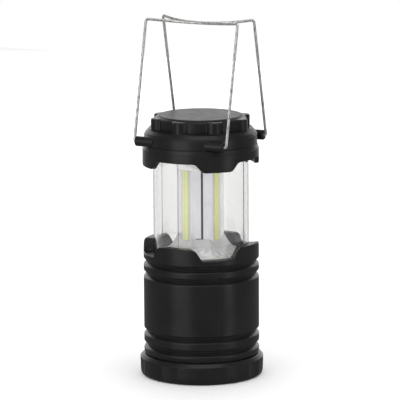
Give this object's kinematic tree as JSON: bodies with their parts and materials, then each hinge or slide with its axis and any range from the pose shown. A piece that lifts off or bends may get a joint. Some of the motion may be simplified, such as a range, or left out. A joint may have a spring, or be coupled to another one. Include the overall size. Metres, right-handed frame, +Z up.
{
  "type": "camping lantern",
  "caption": "Pull-up camping lantern: ribbed battery base, clear sliding tube round a light column, knobbed lamp head and folding wire bails.",
  "frame": {"origin": "on the ground, at the centre of the base", "axes": "+Z up along the lantern's axis, front towards -Y, bails turn about axes parallel to X"},
  "size_m": [0.0886, 0.0886, 0.2568],
  "materials": {
    "black_abs": "moulded ABS, fine satin",
    "satin_plate": "satin pad-finished ABS",
    "seal_rubber": "nitrile rubber",
    "clear_polycarbonate": "clear polycarbonate",
    "cell_jacket": "printed film jacket",
    "zinc_screw": "zinc plated",
    "nickel_contact": "nickel plated steel",
    "brass_contact": "bare brass",
    "metallised_reflector": "vacuum metallised",
    "white_board": "white solder mask",
    "phosphor": "silicone with phosphor",
    "green_board": "green solder mask",
    "resistor_body": "ceramic chip",
    "steel_wire": "nickel plated steel wire"
  },
  "bodies": {
    "base": {"base_barrel": "black_abs", "base_seal": "seal_rubber", "battery_cage": "black_abs", "cage_screws": "zinc_screw", "battery_cell_1": "cell_jacket", "battery_cell_2": "cell_jacket", "battery_cell_3": "cell_jacket", "contact_carrier": "black_abs", "cell_spring_1": "nickel_contact", "cell_spring_2": "nickel_contact", "cell_spring_3": "nickel_contact", "bottom_bridge": "nickel_contact", "top_bridge": "nickel_contact", "return_strip": "brass_contact", "leaf_positive": "brass_contact", "leaf_negative": "brass_contact", "contact_post": "black_abs"},
    "cover": {"bottom_cover": "black_abs"},
    "head": {"clear_tube": "clear_polycarbonate", "stop_ring": "black_abs", "column_frame": "black_abs", "reflector_panel_1": "metallised_reflector", "reflector_panel_2": "metallised_reflector", "reflector_panel_3": "metallised_reflector", "cob_board_1": "white_board", "cob_board_2": "white_board", "cob_board_3": "white_board", "cob_strip_1": "phosphor", "cob_strip_2": "phosphor", "cob_strip_3": "phosphor", "switch_tab_1": "brass_contact", "switch_tab_2": "brass_contact", "bottom_reflector": "metallised_reflector", "top_reflector": "metallised_reflector", "head_plate": "black_abs", "driver_board": "green_board", "limit_resistor": "resistor_body", "collar": "black_abs", "top_cap": "black_abs", "top_plate": "satin_plate", "cap_screws": "zinc_screw"},
    "front_bail": {"bail_front": "steel_wire"},
    "rear_bail": {"bail_rear": "steel_wire"}
  },
  "joints": [
    {"name": "head_slide", "type": "slide", "parent": "base", "child": "head", "axis": [0, 0, -1], "range_m": [0, 0.061]},
    {"name": "cover_twist", "type": "hinge", "parent": "base", "child": "cover", "pos_m": [0, 0, 0], "axis": [0, 0, 1], "range_deg": [0, 30]},
    {"name": "bail_front_fold", "type": "hinge", "parent": "head", "child": "front_bail", "pos_m": [0, -0.0316, 0.171], "axis": [1, 0, 0], "range_deg": [0, 192]},
    {"name": "bail_rear_fold", "type": "hinge", "parent": "head", "child": "rear_bail", "pos_m": [0, 0.0316, 0.171], "axis": [-1, 0, 0], "range_deg": [0, 192]}
  ]
}
